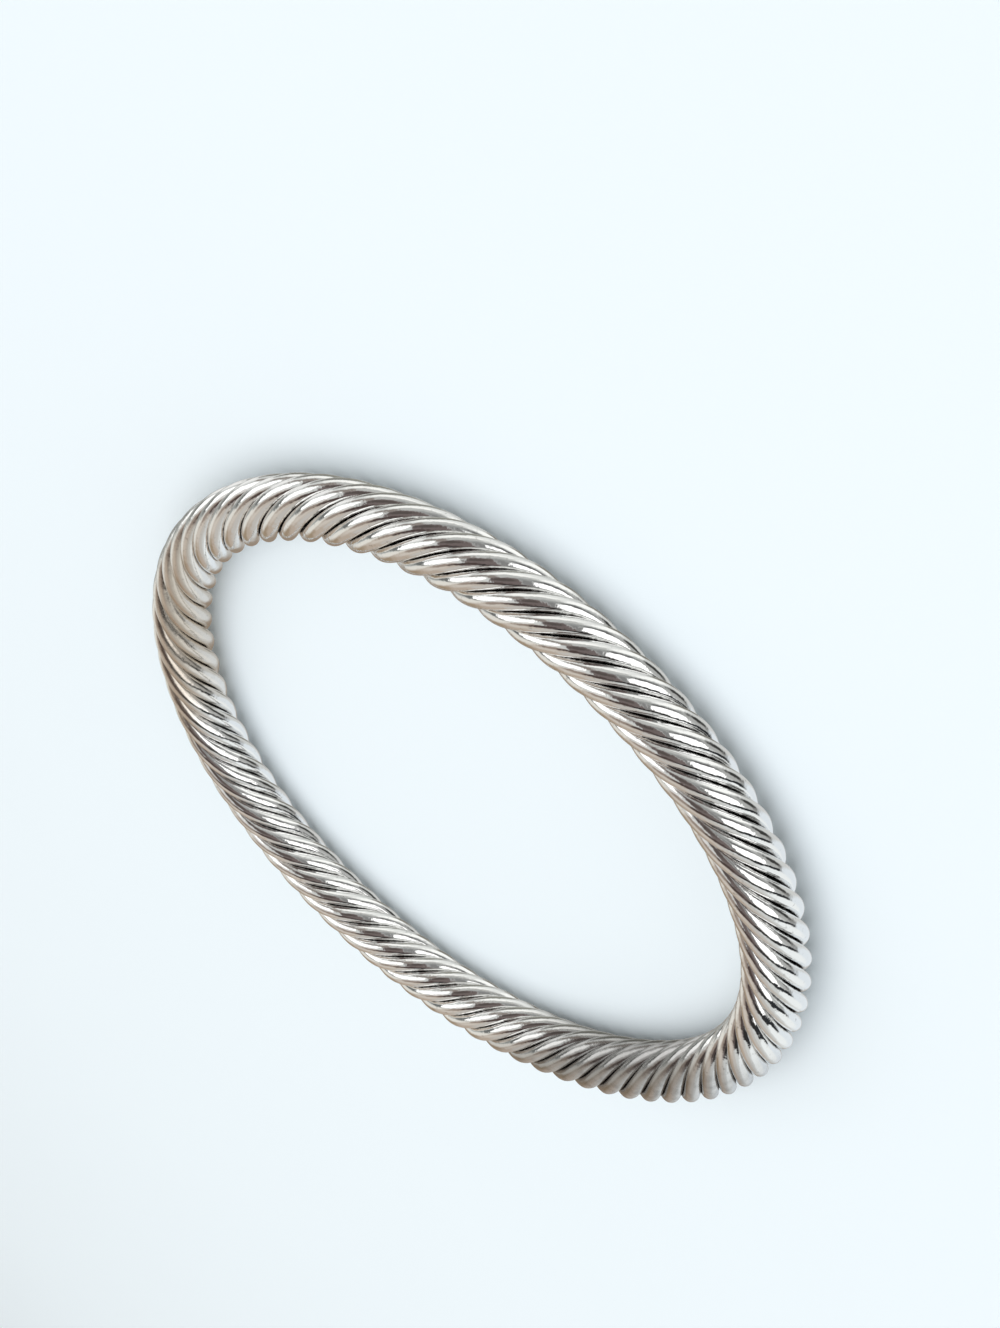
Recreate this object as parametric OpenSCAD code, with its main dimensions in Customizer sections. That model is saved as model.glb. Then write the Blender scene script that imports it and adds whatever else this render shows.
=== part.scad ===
// Twisted wire bangle, lying on its side: round strands laid left-hand around a core wire,
// bent to an oval and closed on themselves. Each strand ends where it began.
// The axis of the ring is +Z, its longer way across is X, and it rests on z = 0 with the
// origin under the middle of the wrist opening.

/* [Wrist opening] */
// Clear width inside the ring, along X
inner_width = 56.8; // [44:0.2:72]
// Clear depth inside the ring, along Y
inner_depth = 51.8; // [44:0.2:72]

/* [Wires] */
// Diameter of the wire of each strand
strand_d = 1.36; // [0.8:0.01:1.6]
// Number of strands laid around the core
strands = 7; // [6:1:9]
// Turns that each strand makes around the core on its way round the ring
turns = 10; // [5:1:11]

/* [Uneven twist] */
// Angle of the first strand around the core at +X, were the twist even: 0 is outward, 90 up
lay_start = 28; // [0:1:359]
// Degrees by which the twist falls behind and runs ahead once on its way round
lay_drift = 25; // [0:1:30]
// Place along the ring where that puts it furthest behind, in degrees from +X
drift_from = 85; // [0:1:359]
// Degrees by which the twist falls behind and runs ahead twice on its way round
lay_ripple = 13; // [0:1:20]
// Place along the ring where that puts it furthest behind, in degrees from +X
ripple_from = 24; // [0:1:179]

/* [Clearances] */
// Gap between two strands where the bend crowds them most
strand_gap = 0.03; // [0.02:0.01:0.1]
// Gap between the strands and the core
core_gap = 0.08; // [0.08:0.01:0.2]

/* [Facets] */
// Sides of the section of a strand
strand_sides = 6; // [5:1:12]
// Sections of a strand in each of its turns
steps_per_turn = 16; // [14:1:30]
// Sides of the section of the core
core_sides = 12; // [8:1:24]
// Sections of the core on its way round the ring
core_steps = 72; // [72:4:120]

/* [Hidden] */

// Passes that settle the radius at which the strands just fit beside each other
fit_passes = 12;

silver = [0.78, 0.79, 0.81];
dark_silver = [0.55, 0.56, 0.58];
up = [0, 0, 1];

function strand_name(i) = str("strand_", i);

// Oval ring of four arcs that meet at 45 degrees, for half-axes a and b.
// The arcs at its ends have radius a - shift, those at its sides b + shift.
function arc_shift(a, b) = (a - b) * sin(45) / (2 * sin(45) - 1);
function oval_length(a, b) = PI * (a + b);
function tightest_bend(a, b) = min(a - arc_shift(a, b), b + arc_shift(a, b));

// Half-axes of the middle line of the cable, when the strands are centred at radius r
function half_width_at(r) = inner_width / 2 + strand_d / 2 + r;
function half_depth_at(r) = inner_depth / 2 + strand_d / 2 + r;

// Turns that a strand would make round the whole ring at the pace it has at place u
function pace_at(u) =
    turns + PI / 180 * (lay_drift * sin(u - drift_from)
                        + 2 * lay_ripple * sin(2 * (u - ripple_from)));
fastest_pace = max([for (u = [0:359]) pace_at(u)]);

// Slope of the lay where the bend and the uneven twist crowd the strands most
function crowded_slope(r) =
    let (a = half_width_at(r), b = half_depth_at(r))
    2 * PI * r * fastest_pace / (oval_length(a, b) * (1 - r / tightest_bend(a, b)));

// Radius at which strands of that slope lie beside each other with their gap
function closed_radius(slope) =
    (strand_d + strand_gap) / 2 * sqrt(1 + (1 + slope * slope) / pow(tan(180 / strands), 2));

function settled_radius(r, passes) =
    passes == 0 ? r : settled_radius(closed_radius(crowded_slope(r)), passes - 1);

lay_r = settled_radius(closed_radius(0), fit_passes);
core_d = 2 * (lay_r - strand_d / 2 - core_gap);
half_width = half_width_at(lay_r);
half_depth = half_depth_at(lay_r);
end_radius = half_width - arc_shift(half_width, half_depth);
side_radius = half_depth + arc_shift(half_width, half_depth);
length_round = oval_length(half_width, half_depth);
end_length = end_radius * PI / 2;

// Direction of the outward normal at distance s along the ring, from the start of an end arc
function normal_at(s) =
    let (half = floor(2 * s / length_round), rest = s - half * length_round / 2)
    180 * half - 45 + 180 / PI * (rest < end_length ? rest / end_radius
                                  : PI / 2 + (rest - end_length) / side_radius);

function on_end(v) = abs(cos(v)) > abs(sin(v));
function bend_at(v) = on_end(v) ? end_radius : side_radius;
function bend_centre(v) =
    on_end(v) ? [sign(cos(v)) * (half_width - end_radius), 0, 0]
    : [0, sign(sin(v)) * (half_depth - side_radius), 0];

// Place along the ring at distance s, in degrees of its length from +X
function place_at(s) = 360 * (s - end_length / 2) / length_round;

// Angle of a strand around the core at place u: 0 points outward and 90 up.
// It grows as the ring is followed counter-clockwise, which is a left-hand lay.
function lay_angle(i, u) =
    360 * (i - 1) / strands + lay_start + turns * u
    - lay_drift * cos(u - drift_from) - lay_ripple * cos(2 * (u - ripple_from));

// Round section, at distance s, of a wire whose middle lies at radius r and angle phi
// in the cable and which turns around it at that pace. It is square to the wire's run.
function wire_section(s, r, phi, pace, wire_d, sides) =
    let (v = normal_at(s), outward = [cos(v), sin(v), 0], along = [-sin(v), cos(v), 0])
    let (radial = cos(phi) * outward + sin(phi) * up)
    let (around = cos(phi) * up - sin(phi) * outward)
    let (run = (1 + r * cos(phi) / bend_at(v)) * along + 2 * PI * pace * r / length_round * around)
    let (across = cross(run / norm(run), radial))
    let (middle = bend_centre(v) + bend_at(v) * outward + r * radial)
    [for (j = [0:sides - 1])
        let (w = 360 * j / sides)
        middle + wire_d / 2 * (cos(w) * radial + sin(w) * across)];

strand_steps = turns * steps_per_turn;

function strand_points(i) =
    [for (k = [0:strand_steps - 1])
        let (s = k * length_round / strand_steps, u = place_at(s))
        each wire_section(s, lay_r, lay_angle(i, u), pace_at(u), strand_d, strand_sides)];

function core_points() =
    [for (k = [0:core_steps - 1])
        each wire_section(k * length_round / core_steps, 0, 0, 0, core_d, core_sides)];

// Height of the middle of the ring, so that the lowest strand lies on z = 0
rest_height = -min([for (i = [1:strands]) for (p = strand_points(i)) p.z]);

// Wire that closes on itself, from the points of its sections
module wire_loop(points, sides) {
    steps = len(points) / sides;
    faces = [for (k = [0:steps - 1]) for (j = [0:sides - 1])
        let (near = k * sides, far = (k + 1) % steps * sides, next = (j + 1) % sides)
        each [[near + j, far + next, near + next], [near + j, far + j, far + next]]];
    translate([0, 0, rest_height])
        polyhedron(points, faces);
}

module core() {
    color(dark_silver)
        wire_loop(core_points(), core_sides);
}

module strand(i) {
    color(silver)
        wire_loop(strand_points(i), strand_sides);
}

core();
for (i = [1:strands])
    strand(i);
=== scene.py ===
import math

import bpy
import numpy as np
from mathutils import Matrix, Vector


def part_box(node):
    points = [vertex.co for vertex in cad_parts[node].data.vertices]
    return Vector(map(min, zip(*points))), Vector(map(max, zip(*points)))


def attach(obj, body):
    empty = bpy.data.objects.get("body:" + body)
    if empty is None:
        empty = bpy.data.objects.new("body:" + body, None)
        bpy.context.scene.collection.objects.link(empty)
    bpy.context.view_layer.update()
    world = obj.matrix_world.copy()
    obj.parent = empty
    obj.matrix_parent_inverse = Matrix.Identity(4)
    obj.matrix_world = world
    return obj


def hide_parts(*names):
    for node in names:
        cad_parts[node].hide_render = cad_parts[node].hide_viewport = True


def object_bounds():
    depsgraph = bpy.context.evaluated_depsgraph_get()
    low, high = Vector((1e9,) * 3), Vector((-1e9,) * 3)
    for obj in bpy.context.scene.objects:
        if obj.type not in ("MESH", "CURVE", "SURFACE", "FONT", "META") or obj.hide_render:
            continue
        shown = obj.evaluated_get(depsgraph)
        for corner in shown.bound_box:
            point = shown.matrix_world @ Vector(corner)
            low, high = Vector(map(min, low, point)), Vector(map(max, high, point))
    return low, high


MM = 0.001

# Lay of the strands, as in the part's source
STRANDS = 7
TURNS = 10
LAY_START = math.radians(28)
LAY_DRIFT = math.radians(25)
DRIFT_FROM = math.radians(85)
LAY_RIPPLE = math.radians(13)
RIPPLE_FROM = math.radians(24)

# A smooth strand is a hair thicker than its solid, so that neighbours touch
STRAND_D = 1.385 * MM
STRAND_SIDES = 64
RINGS_PER_TURN = 90
RINGS = TURNS * RINGS_PER_TURN

# Hand-made unevenness: how far a wire's surface wanders, and how many waves round the ring, how
# many round the wire and which start, in radians for each strand, each wave has
WANDER = 0.004 * MM
WANDER_WAVES = ((5, 1, 0.4), (11, 2, 1.9), (23, 1, 4.1), (41, 3, 2.6))

# Noises in the metal and the floor: cells for each metre, and octaves
CLOUD = (160, 4)
PATINA = (800, 3)
SPECKS = (2600, 3)
CORE_CLOUD = (900, 4)
FLOOR_CLOUD = (9, 3)

# Lines drawn along a wire: cells round it and along it, and octaves
LINES_ROUND = 26
LINES_ALONG = 60
LINES_OCTAVES = 5

# Polished silver: the tones that the cloud mixes, and the roughness without lines and by lines
SILVER_TONES = ((0.88, 0.88, 0.88, 1), (0.94, 0.94, 0.93, 1))
SILVER_ROUGH = 0.02
LINES_ROUGH = 0.05

# Tarnish: its colour and roughness, the crest attribute where it begins and is full in a groove,
# and how far the specks shift that. It also shows faintly in the specks, more so in the cloud.
TARNISH = (0.17, 0.16, 0.15, 1)
TARNISH_ROUGH = 0.2
GROOVE_EDGES = (0.24, -0.26)
GROOVE_SHIFT = 0.9
SPECK_EDGES = (0.80, 0.95)
SPECK_CLOUD = 0.35
SPECK_TARNISH = 0.3

# Relief of the silver: strength and height
LINES_RELIEF = (0.35, 0.02 * MM)
DENTS_RELIEF = (1.0, 0.05 * MM)
SPECKS_RELIEF = (0.10, 0.02 * MM)

# Worn ends of the ring. Their satin tones and film are partly wear and partly painted light: the
# grey end's darker satin and grey film are painted shade, and the brown end's film is a painted
# reflection of warm brown on the side that faces the ring's middle. Each has a direction from the
# ring's middle, the distances where the wear begins and is full, light and dark satin, a film, the
# edges of the film by the inward attribute, the roughness that the satin adds, and the share of the
# grooves' tarnish that is gone.
BLOTCH_EDGES = (0.42, 0.66)
# Grey end: its darker satin tones and its grey film on the inner side are painted shade laid over
# the wear.
GREY_END_WEAR_AND_PAINTED_SHADE = {
    "towards": (-0.6, 0.8, 0.0),
    "begins": 23.5 * MM,
    "full": 28.6 * MM,
    "light": (0.62, 0.62, 0.62, 1),
    "dark": (0.48, 0.48, 0.48, 1),
    "film_and_painted_reflection": (0.38, 0.375, 0.37, 1),
    "film_and_painted_reflection_edges": (-0.25, 0.5),
    "rough": 0.21,
    "cleaned": 0.3,
}
# Brown end: its brown film is a painted reflection of warm brown on the side that faces the ring's
# middle, laid over the wear.
BROWN_END_WEAR_AND_PAINTED_REFLECTION = {
    "towards": (0.97, -0.24, 0.0),
    "begins": 25.5 * MM,
    "full": 29.5 * MM,
    "light": (0.95, 0.95, 0.94, 1),
    "dark": (0.85, 0.85, 0.84, 1),
    "film_and_painted_reflection": (0.69, 0.62, 0.54, 1),
    "film_and_painted_reflection_edges": (-0.4, 0.4),
    "rough": 0.19,
    "cleaned": 0.9,
}

# Tarnished core: the tones that its cloud mixes, its roughness without the cloud and by it, and
# its relief
CORE_TONES = ((0.16, 0.15, 0.15, 1), (0.34, 0.33, 0.32, 1))
CORE_ROUGH = 0.35
CORE_CLOUD_ROUGH = 0.3
CORE_RELIEF = (0.3, 0.05 * MM)

# Floor: how far it reaches each way, its colour, and the share of that in its darker spots
FLOOR_REACH = 2.5
FLOOR_COLOUR = (0.81, 0.90, 0.96, 1.0)
FLOOR_DARKER = 0.97
FLOOR_ROUGH = 0.6
FLOOR_SPECULAR = 0.2

# Camera: the spot that it aims at, level with the middle of the cable, and its distance from there,
# both in half-widths of the ring; its direction from there round +Z and above the floor; its roll
CAMERA_AIM = (-0.214, -0.631)
CAMERA_DISTANCE = 4.026
CAMERA_TURN = math.radians(-125)
CAMERA_RISE = math.radians(33.4)
CAMERA_ROLL = math.radians(-133.2)

# Focal length and the picture's longer side in pixels, the sensor in mm, and the depth seen in m
FOCAL_PIXELS = 1700
FRAME_PIXELS = 1328
SENSOR = 36
NEAREST = 0.01
FARTHEST = 20

# Room around the bangle, by direction seen from it: patches of light and shade, each over the
# rows before it. Places and sizes are degrees to the right of the camera and above it, the soft
# edge is a share of the size, and the shade is what a perfect mirror would show, 0 to 255.
# A patch with corners is nearly a rectangle, and the others are ovals.
#         name, middle, half-size, tilt, soft edge, corners, shade, strength
ROOM = (
    ("high", (30, 80), (150, 24), 0, 0.25, False, (226, 228, 225), 1),
    ("high_middle", (-20, 70), (70, 15), 0, 0.5, False, (250, 250, 246), 1),
    ("high_far_left", (-160, 66), (46, 20), 0, 0.4, False, (118, 117, 112), 1),
    ("high_far_right", (180, 52), (20, 26), 0, 0.4, False, (140, 140, 132), 1),
    ("upper_middle", (-4, 42), (40, 16), 0, 0.35, False, (182, 183, 180), 1),
    ("upper_streak", (-58, 42), (27, 6.5), -9, 0.5, False, (134, 127, 121), 1),
    ("upper_turn", (-36, 30), (9, 16), 12, 0.5, False, (136, 128, 122), 1),
    ("upper_bright", (80, 44), (44, 13), 0, 0.45, False, (252, 253, 250), 1),
    ("right_grey", (82, 2), (28, 27), 0, 0.35, False, (170, 171, 169), 1),
    ("right_edge", (97, -8), (8, 24), 12, 0.4, False, (132, 132, 130), 1),
    ("band", (28, 19), (38, 13), -5, 0.25, True, (154, 156, 154), 1),
    ("band_dark", (40, 17), (20, 8), -10, 0.5, False, (96, 96, 96), 1),
    ("dark_spot", (92, 13), (15, 13), 0, 0.4, False, (60, 60, 58), 1),
    ("right_pale", (130, -22), (34, 26), 0, 0.25, False, (220, 227, 232), 1),
    ("low_right", (105, -56), (55, 22), 10, 0.3, False, (233, 237, 237), 1),
    ("right_streak", (146, 30), (27, 8), -38, 0.5, False, (118, 115, 106), 1),
    ("low_left", (-115, -60), (70, 22), 0, 0.35, True, (187, 183, 177), 1),
    ("warm_low", (-115, -36), (62, 21), 0, 0.3, True, (177, 163, 149), 1),
    ("warm_dark", (-150, -22), (28, 14), -15, 0.5, False, (152, 135, 114), 1),
    ("warm_light", (-90, -42), (26, 16), 0, 0.6, False, (198, 190, 180), 1),
    ("warm_pale", (-110, -12), (28, 13), 0, 0.5, False, (220, 217, 209), 1),
    ("far_warm", (-174, -12), (20, 18), 0, 0.5, False, (146, 132, 117), 1),
    ("left_ledge", (-135, 15), (36, 14), 0, 0.3, False, (152, 154, 150), 1),
    ("left_strip", (-122, 42), (34, 9), 12, 0.4, False, (236, 236, 234), 1),
    ("left_edge", (-104, 14), (8, 23), 32, 0.5, False, (108, 110, 108), 1),
    ("warm_middle", (-66, -28), (20, 12), 0, 0.5, False, (148, 135, 125), 1),
    ("left_window", (-69, 13), (27, 17), -8, 0.08, True, (255, 255, 253), 1.2),
    ("left_window_low", (-57, -9), (13, 9), 0, 0.4, False, (212, 210, 207), 1),
    ("shade_low", (-18, -48), (32, 14), 0, 0.3, True, (116, 106, 103), 1),
    ("shade", (-18, -16), (16.5, 40), 0, 0.14, True, (108, 98, 96), 1),
    ("shade_side", (-41, -39), (21, 12), 0, 0.4, False, (74, 63, 60), 1),
    ("shade_top", (-20, 2), (12, 14), 0, 0.5, False, (84, 77, 74), 1),
    ("gap", (6, -16), (6, 32), 0, 0.4, True, (128, 128, 127), 1),
    ("right_window", (36, -18.5), (25, 26.5), -8, 0.07, True, (255, 255, 254), 1.3),
    ("sill", (10, -55), (42, 8), 0, 0.2, True, (46, 45, 44), 1),
    ("sill_right", (66, -38), (33, 8), 27, 0.2, True, (44, 46, 48), 1),
)
ROOM_SHADE = (200, 202, 200)
ROOM_STRENGTH = 1.1

# What the camera sees past the floor
BACKGROUND = (0.82, 0.89, 0.93, 1.0)

# Soft light above the floor: place, size across and power
TOP_LIGHT = Vector((-0.05, -0.02, 0.7))
TOP_LIGHT_SIZE = 1.2
TOP_LIGHT_POWER = 4.9


def node_material(name):
    """New material with a Principled shader, its node tree and that shader."""
    material = bpy.data.materials.new(name)
    material.use_nodes = True
    tree = material.node_tree
    return material, tree, tree.nodes["Principled BSDF"]


def add_node(tree, kind, settings=(), inputs=()):
    """Node of a kind, with its properties and the values or links of its inputs."""
    node = tree.nodes.new(kind)
    for key, value in dict(settings).items():
        setattr(node, key, value)
    for key, value in dict(inputs).items():
        if isinstance(value, bpy.types.NodeSocket):
            tree.links.new(value, node.inputs[key])
        else:
            node.inputs[key].default_value = value
    return node


def math_node(tree, operation, a, b=0.0):
    """Result of one sum on two numbers or links."""
    return add_node(tree, "ShaderNodeMath", {"operation": operation}, {0: a, 1: b}).outputs[0]


def dot_product(tree, a, b):
    """How far one vector or link reaches along another."""
    settings = {"operation": "DOT_PRODUCT"}
    return add_node(tree, "ShaderNodeVectorMath", settings, {0: a, 1: b}).outputs["Value"]


def smooth_step(tree, value, low, high):
    """0 below low and 1 above high, or the other way round where low is the larger."""
    node = add_node(
        tree,
        "ShaderNodeMapRange",
        {"interpolation_type": "SMOOTHSTEP"},
        {"Value": value, "From Min": min(low, high), "From Max": max(low, high)},
    )
    node.inputs["To Min"].default_value = float(low > high)
    node.inputs["To Max"].default_value = float(low <= high)
    return node.outputs["Result"]


def mix_colour(tree, share, a, b):
    """Mix of two colours or links by a share."""
    node = add_node(tree, "ShaderNodeMix", {"data_type": "RGBA"}, {"Factor": share})
    for socket, value in ((node.inputs[6], a), (node.inputs[7], b)):
        if isinstance(value, bpy.types.NodeSocket):
            tree.links.new(value, socket)
        else:
            socket.default_value = value
    return node.outputs[2]


def noise(tree, where, scale, octaves):
    """Noise from 0 to 1 at a place, with so many cells for each unit of it."""
    inputs = {"Vector": where, "Scale": scale, "Detail": octaves}
    return add_node(tree, "ShaderNodeTexNoise", {}, inputs).outputs["Fac"]


def relief(tree, height, strength, distance, below=None):
    """Normals of a surface that a height raises by up to a distance, over the normals below."""
    inputs = {"Height": height, "Strength": strength, "Distance": distance}
    if below is not None:
        inputs["Normal"] = below
    return add_node(tree, "ShaderNodeBump", {}, inputs).outputs["Normal"]


def ring_sizes():
    """Half-axes of the cable's middle line, height of that line and outer radius of the cable."""
    core_low, core_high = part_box("core")
    core_r = (core_high.z - core_low.z) / 2
    middle = (core_high.z + core_low.z) / 2
    half_width = (core_high.x - core_low.x) / 2 - core_r
    half_depth = (core_high.y - core_low.y) / 2 - core_r
    low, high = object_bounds()
    return half_width, half_depth, middle, (high.z - low.z) / 2


def ring_path(half_width, half_depth, count):
    """Places, outward directions, bend radii and share of the way round at even steps along an
    oval of four arcs that meet at 45 degrees, and its length. The share is 0 at +X."""
    corner = math.sin(math.pi / 4)
    shift = (half_width - half_depth) * corner / (2 * corner - 1)
    end_r, side_r = half_width - shift, half_depth + shift
    length = math.pi * (half_width + half_depth)
    end_length = end_r * math.pi / 2
    s = np.arange(count) * length / count
    half = np.floor(2 * s / length)
    rest = s - half * length / 2
    on_end = rest < end_length
    turn = np.where(on_end, rest / end_r, math.pi / 2 + (rest - end_length) / side_r)
    v = math.pi * half - math.pi / 4 + turn
    outward = np.stack([np.cos(v), np.sin(v), 0 * v], axis=1)
    bend = np.where(on_end, end_r, side_r)
    centre = np.stack(
        [
            np.where(on_end, np.sign(np.cos(v)) * (half_width - end_r), 0),
            np.where(on_end, 0, np.sign(np.sin(v)) * (half_depth - side_r)),
            0 * v,
        ],
        axis=1,
    )
    place = centre + bend[:, None] * outward
    return place, outward, bend, (s - end_length / 2) / length, length


def strand_line(index, half_width, half_depth, middle, cable_r):
    """Middle line of strand index, the ways out of the cable and across the wire along it, the way
    out of the ring, and the angle round the ring."""
    place, outward, bend, share, length = ring_path(half_width, half_depth, RINGS)
    up = np.array([0.0, 0.0, 1.0])
    along = np.cross(up, outward)
    u = 2 * math.pi * share
    phi = 2 * math.pi * index / STRANDS + LAY_START + TURNS * u
    phi -= LAY_DRIFT * np.cos(u - DRIFT_FROM) + LAY_RIPPLE * np.cos(2 * (u - RIPPLE_FROM))
    pace = TURNS + LAY_DRIFT * np.sin(u - DRIFT_FROM)
    pace += 2 * LAY_RIPPLE * np.sin(2 * (u - RIPPLE_FROM))
    lay_r = cable_r - STRAND_D / 2
    radial = np.cos(phi)[:, None] * outward + np.sin(phi)[:, None] * up
    around = np.cos(phi)[:, None] * up - np.sin(phi)[:, None] * outward
    run = (1 + lay_r * np.cos(phi) / bend)[:, None] * along
    run += (2 * math.pi * pace * lay_r / length)[:, None] * around
    run /= np.linalg.norm(run, axis=1)[:, None]
    centre = place + lay_r * radial + middle * up
    return centre, radial, np.cross(run, radial), outward, u


def closed_tube():
    """Faces of a wire that closes on itself, and the UV of their corners: round and along it."""
    i = np.arange(RINGS)[:, None]
    j = np.arange(STRAND_SIDES)[None, :]
    ring = i * STRAND_SIDES
    next_ring = (i + 1) % RINGS * STRAND_SIDES
    next_side = (j + 1) % STRAND_SIDES
    corners = [ring + j, ring + next_side, next_ring + next_side, next_ring + j]
    faces = np.stack(corners, axis=2).reshape(-1, 4)
    across = np.broadcast_to(j[..., None] + (0, 1, 1, 0), (RINGS, STRAND_SIDES, 4))
    along = np.broadcast_to(i[..., None] + (0, 0, 1, 1), (RINGS, STRAND_SIDES, 4))
    return faces, np.stack([across / STRAND_SIDES, along / RINGS], axis=3)


def strand_mesh(index, sizes):
    """Smooth closed wire that follows the lay of strand index. Its crest attribute is 1 where the
    wire faces out of the cable and -1 where it faces the core, and its inward attribute is 1 where
    it faces the middle of the ring."""
    centre, radial, across, outward, u = strand_line(index, *sizes)
    # The seam of the UV map faces the core
    w = math.pi + np.arange(STRAND_SIDES) * 2 * math.pi / STRAND_SIDES
    radius = np.full((RINGS, STRAND_SIDES), STRAND_D / 2)
    for waves, lobes, start in WANDER_WAVES:
        radius += WANDER * np.sin(waves * u[:, None] + lobes * w + start * (index + 1))
    side = np.cos(w)[None, :, None] * radial[:, None] + np.sin(w)[None, :, None] * across[:, None]
    points = (centre[:, None] + radius[..., None] * side).reshape(-1, 3)
    faces, uv = closed_tube()

    mesh = bpy.data.meshes.new(f"wire_{index + 1}")
    mesh.from_pydata(points.tolist(), [], faces.tolist())
    mesh.shade_smooth()
    crest = np.tile(np.cos(w), RINGS)
    inward = -np.einsum("ijk,ik->ij", side, outward).reshape(-1)
    for name, values in (("crest", crest), ("inward", inward)):
        attribute = mesh.attributes.new(name, "FLOAT", "POINT")
        attribute.data.foreach_set("value", values.astype(np.float32))
    run_map = mesh.uv_layers.new(name="run")
    run_map.data.foreach_set("uv", uv.reshape(-1).astype(np.float32))
    return mesh


def add_worn_end_and_painted_reflection(tree, end, place, inward, blotches, tone, rough, in_groove):
    """Tone, roughness and groove tarnish of the silver with one worn end of the ring added. The
    end's satin tones and film are partly painted shade and painted reflection.
    """
    reach = dot_product(tree, place, end["towards"])
    end_share = smooth_step(tree, reach, end["begins"], end["full"])
    # The satin tones and the film on the inner side are painted shade and painted reflection over
    # the wear.
    satin_and_painted_shade = mix_colour(tree, blotches, end["light"], end["dark"])
    tone = mix_colour(tree, end_share, tone, satin_and_painted_shade)
    film_and_painted_reflection = math_node(tree, "MULTIPLY", end_share, smooth_step(tree, inward, *end["film_and_painted_reflection_edges"]))
    tone = mix_colour(tree, film_and_painted_reflection, tone, end["film_and_painted_reflection"])
    rough = math_node(tree, "ADD", rough, math_node(tree, "MULTIPLY", end_share, end["rough"]))
    left = math_node(tree, "SUBTRACT", 1, math_node(tree, "MULTIPLY", end_share, end["cleaned"]))
    return tone, rough, math_node(tree, "MULTIPLY", in_groove, left)


def silver_material():
    """Polished silver: faint drawn lines along the wire, small dents, dark tarnish that gathers in
    the grooves and in specks, and two satin ends with a film on their inner side, whose tones and
    film are partly painted shade and painted reflection."""
    material, tree, shader = node_material("polished_silver")
    where = add_node(tree, "ShaderNodeTexCoord")
    place = where.outputs["Object"]
    crest = add_node(tree, "ShaderNodeAttribute", {"attribute_name": "crest"}).outputs["Fac"]
    inward = add_node(tree, "ShaderNodeAttribute", {"attribute_name": "inward"}).outputs["Fac"]

    cloud = noise(tree, place, *CLOUD)
    patina = noise(tree, place, *PATINA)
    specks = noise(tree, place, *SPECKS)
    drawn = add_node(
        tree,
        "ShaderNodeMapping",
        {},
        {"Vector": where.outputs["UV"], "Scale": (LINES_ROUND, LINES_ALONG, 1)},
    ).outputs["Vector"]
    lines = noise(tree, drawn, 1, LINES_OCTAVES)

    shift = math_node(tree, "SUBTRACT", specks, 0.5)
    shift = math_node(tree, "MULTIPLY", shift, GROOVE_SHIFT)
    in_groove = smooth_step(tree, math_node(tree, "ADD", crest, shift), *GROOVE_EDGES)
    tone = mix_colour(tree, cloud, *SILVER_TONES)
    rough = math_node(tree, "MULTIPLY", lines, LINES_ROUGH)
    rough = math_node(tree, "ADD", rough, SILVER_ROUGH)
    blotches = smooth_step(tree, patina, *BLOTCH_EDGES)
    # Two worn ends, each with painted shade or a painted reflection in its tones.
    for end in (GREY_END_WEAR_AND_PAINTED_SHADE, BROWN_END_WEAR_AND_PAINTED_REFLECTION):
        tone, rough, in_groove = add_worn_end_and_painted_reflection(
            tree, end, place, inward, blotches, tone, rough, in_groove
        )

    mottle = math_node(tree, "ADD", specks, math_node(tree, "MULTIPLY", cloud, SPECK_CLOUD))
    speck = smooth_step(tree, mottle, *SPECK_EDGES)
    speck = math_node(tree, "MULTIPLY", speck, SPECK_TARNISH)
    tarnish = math_node(tree, "MAXIMUM", in_groove, speck)
    colour = mix_colour(tree, tarnish, tone, TARNISH)
    rough = math_node(tree, "ADD", rough, math_node(tree, "MULTIPLY", tarnish, TARNISH_ROUGH))
    tree.links.new(colour, shader.inputs["Base Color"])
    tree.links.new(rough, shader.inputs["Roughness"])
    shader.inputs["Metallic"].default_value = 1.0

    normals = relief(tree, lines, *LINES_RELIEF)
    normals = relief(tree, patina, *DENTS_RELIEF, normals)
    normals = relief(tree, specks, *SPECKS_RELIEF, normals)
    tree.links.new(normals, shader.inputs["Normal"])
    return material


def core_material():
    """Dull tarnished wire, seen only in the depth of the grooves."""
    material, tree, shader = node_material("tarnished_core")
    where = add_node(tree, "ShaderNodeTexCoord").outputs["Object"]
    cloud = noise(tree, where, *CORE_CLOUD)
    colour = mix_colour(tree, cloud, *CORE_TONES)
    rough = math_node(tree, "MULTIPLY", cloud, CORE_CLOUD_ROUGH)
    rough = math_node(tree, "ADD", rough, CORE_ROUGH)
    tree.links.new(colour, shader.inputs["Base Color"])
    tree.links.new(rough, shader.inputs["Roughness"])
    tree.links.new(relief(tree, cloud, *CORE_RELIEF), shader.inputs["Normal"])
    shader.inputs["Metallic"].default_value = 1.0
    return material


def floor_material():
    """Pale matt table top with a very faint unevenness."""
    material, tree, shader = node_material("pale_floor")
    where = add_node(tree, "ShaderNodeTexCoord").outputs["Object"]
    cloud = noise(tree, where, *FLOOR_CLOUD)
    darker = tuple(FLOOR_DARKER * c for c in FLOOR_COLOUR[:3]) + (1,)
    tree.links.new(mix_colour(tree, cloud, darker, FLOOR_COLOUR), shader.inputs["Base Color"])
    shader.inputs["Roughness"].default_value = FLOOR_ROUGH
    shader.inputs["Specular IOR Level"].default_value = FLOOR_SPECULAR
    return material


def add_strands(sizes):
    """The visible strands, each standing for its CAD node."""
    silver = silver_material()
    for index in range(STRANDS):
        wire = bpy.data.objects.new(f"wire_{index + 1}", strand_mesh(index, sizes))
        bpy.context.scene.collection.objects.link(wire)
        wire.data.materials.append(silver)
        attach(wire, "root")
        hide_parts(f"strand_{index + 1}")


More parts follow.
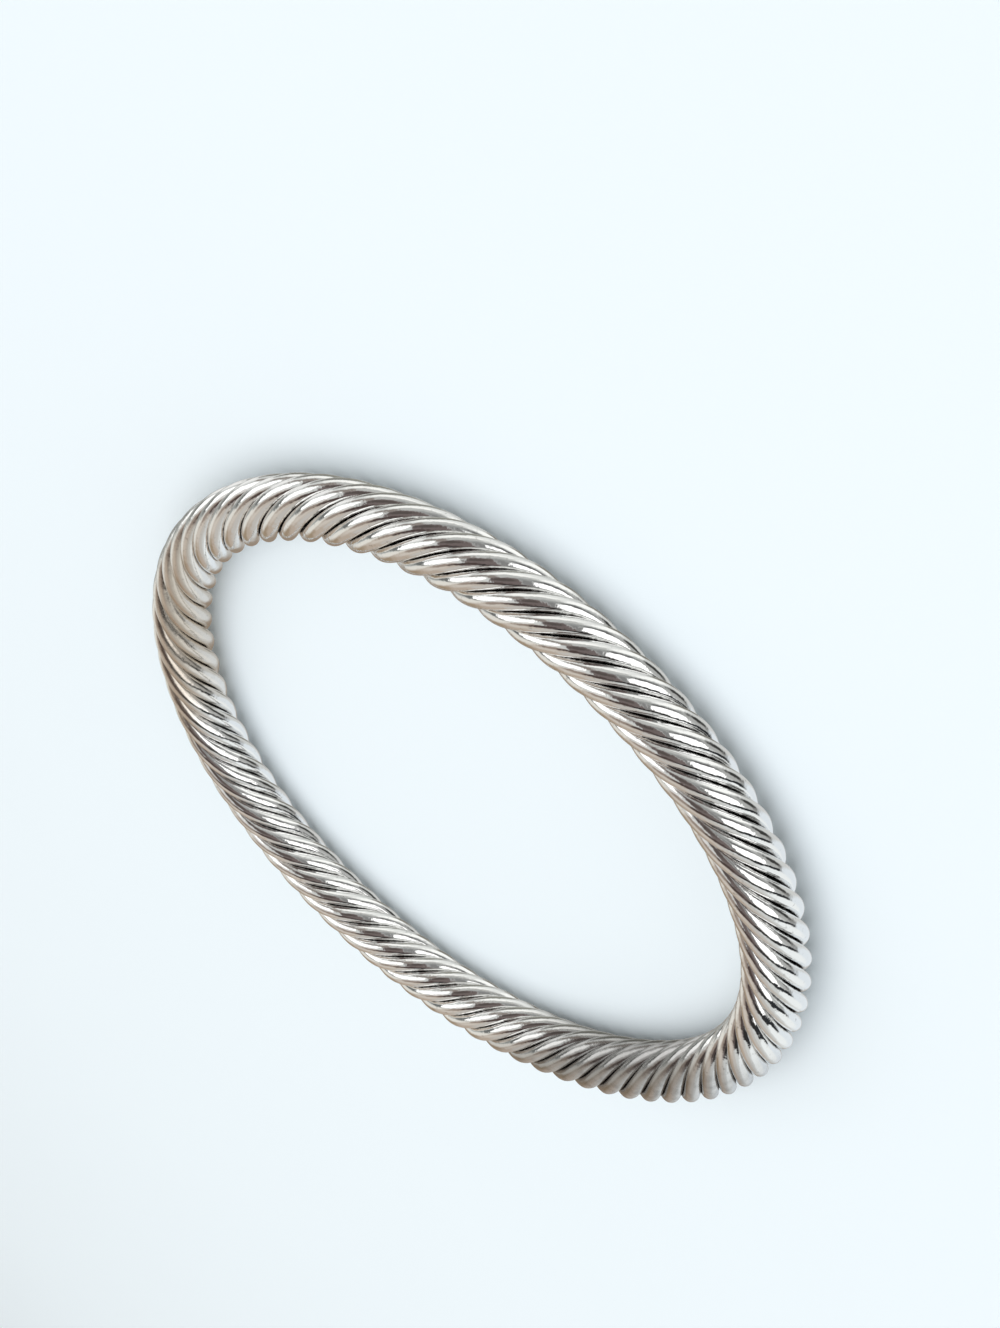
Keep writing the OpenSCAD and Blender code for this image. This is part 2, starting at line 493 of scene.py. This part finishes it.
def dress_core():
    """The core keeps its shape and gets a dull metal."""
    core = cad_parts["core"]
    core.data.materials.clear()
    core.data.materials.append(core_material())


def add_floor():
    """Pale floor that the bangle lies on, not seen in the metal."""
    mesh = bpy.data.meshes.new("floor")
    r = FLOOR_REACH
    mesh.from_pydata([(-r, -r, 0), (r, -r, 0), (r, r, 0), (-r, r, 0)], [], [(0, 1, 2, 3)])
    floor = bpy.data.objects.new("floor", mesh)
    bpy.context.scene.collection.objects.link(floor)
    floor.data.materials.append(floor_material())
    floor.visible_glossy = False


def camera_axes():
    """Right, up and back of the camera."""
    level = Vector((-math.sin(CAMERA_TURN), math.cos(CAMERA_TURN), 0))
    flat_back = Vector((math.cos(CAMERA_TURN), math.sin(CAMERA_TURN), 0))
    back = math.cos(CAMERA_RISE) * flat_back + Vector((0, 0, math.sin(CAMERA_RISE)))
    right = math.cos(CAMERA_ROLL) * level + math.sin(CAMERA_ROLL) * back.cross(level)
    return right, back.cross(right), back


def add_camera(half_width, middle):
    """Camera at the photo's angle, whose size and distance follow the ring."""
    camera = bpy.data.cameras.new("camera")
    camera.sensor_width = SENSOR
    camera.lens = SENSOR * FOCAL_PIXELS / FRAME_PIXELS
    camera.clip_start = NEAREST
    camera.clip_end = FARTHEST
    seen = bpy.data.objects.new("camera", camera)
    bpy.context.scene.collection.objects.link(seen)
    axes = camera_axes()
    aim = Vector((CAMERA_AIM[0] * half_width, CAMERA_AIM[1] * half_width, middle))
    place = aim + CAMERA_DISTANCE * half_width * axes[2]
    seen.matrix_world = Matrix.Translation(place) @ Matrix(axes).transposed().to_4x4()
    bpy.context.scene.camera = seen


def add_top_light():
    """Soft light that brightens the floor and isn't seen in the metal."""
    light = bpy.data.lights.new("top_light", "AREA")
    light.shape = "DISK"
    light.size = TOP_LIGHT_SIZE
    light.energy = TOP_LIGHT_POWER
    lamp = bpy.data.objects.new("top_light", light)
    bpy.context.scene.collection.objects.link(lamp)
    lamp.location = TOP_LIGHT
    lamp.rotation_mode = "QUATERNION"
    lamp.rotation_quaternion = TOP_LIGHT.to_track_quat("Z", "Y")
    lamp.visible_glossy = False


def linear(shade):
    """Colour of light that the standard display curve shows as a shade from 0 to 255."""
    return tuple(((c / 255 + 0.055) / 1.055) ** 2.4 for c in shade)


def patch_share(tree, across, height, middle, half, tilt, soft, corners):
    """Share of a patch of the room in a direction: 1 well inside it, 0 outside."""
    # The direction within half a turn of the patch's middle
    near = add_node(
        tree,
        "ShaderNodeMath",
        {"operation": "WRAP"},
        {0: across, 1: middle[0] + 180, 2: middle[0] - 180},
    ).outputs[0]
    spot = add_node(tree, "ShaderNodeCombineXYZ", {}, {"X": near, "Y": height}).outputs[0]
    inside = add_node(
        tree,
        "ShaderNodeMapping",
        {"vector_type": "TEXTURE"},
        {
            "Vector": spot,
            "Location": (*middle, 0),
            "Rotation": (0, 0, math.radians(tilt)),
            "Scale": (*half, 1),
        },
    ).outputs["Vector"]
    low, high = 1 - soft, 1 + soft
    if corners:
        inside = add_node(
            tree, "ShaderNodeVectorMath", {"operation": "MULTIPLY"}, {0: inside, 1: inside}
        ).outputs["Vector"]
        low, high = low**2, high**2
    reach = add_node(tree, "ShaderNodeVectorMath", {"operation": "LENGTH"}, {0: inside})
    return smooth_step(tree, reach.outputs["Value"], high, low)


def add_room():
    """Light of a bright room, painted by direction: two large windows, a darker side between
    them and a warm side."""
    world = bpy.data.worlds.new("room")
    world.use_nodes = True
    tree = world.node_tree
    tree.nodes.clear()
    direction = add_node(tree, "ShaderNodeTexCoord").outputs["Generated"]
    right, up, back = (dot_product(tree, direction, axis) for axis in camera_axes())
    degrees = 180 / math.pi
    across = math_node(tree, "MULTIPLY", math_node(tree, "ARCTAN2", right, back), degrees)
    height = math_node(tree, "MULTIPLY", math_node(tree, "ARCSINE", up), degrees)

    colour = linear(ROOM_SHADE) + (1,)
    for _, middle, half, tilt, soft, corners, shade, strength in ROOM:
        share = patch_share(tree, across, height, middle, half, tilt, soft, corners)
        light = tuple(strength * c for c in linear(shade)) + (1,)
        colour = mix_colour(tree, share, colour, light)

    from_camera = add_node(tree, "ShaderNodeLightPath").outputs["Is Camera Ray"]
    shown = mix_colour(tree, from_camera, colour, BACKGROUND)
    glow = add_node(tree, "ShaderNodeBackground", {}, {"Color": shown, "Strength": ROOM_STRENGTH})
    out = add_node(tree, "ShaderNodeOutputWorld")
    tree.links.new(glow.outputs[0], out.inputs["Surface"])
    bpy.context.scene.world = world


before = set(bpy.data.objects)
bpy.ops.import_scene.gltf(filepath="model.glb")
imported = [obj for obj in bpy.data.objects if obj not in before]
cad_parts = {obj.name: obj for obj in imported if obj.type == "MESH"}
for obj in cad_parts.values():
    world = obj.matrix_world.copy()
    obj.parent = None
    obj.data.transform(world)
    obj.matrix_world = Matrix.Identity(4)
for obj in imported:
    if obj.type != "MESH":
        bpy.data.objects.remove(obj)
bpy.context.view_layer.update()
sizes = ring_sizes()
add_camera(sizes[0], sizes[2])
add_strands(sizes)
dress_core()
add_floor()
add_top_light()
add_room()
bpy.context.scene.view_settings.view_transform = "Standard"
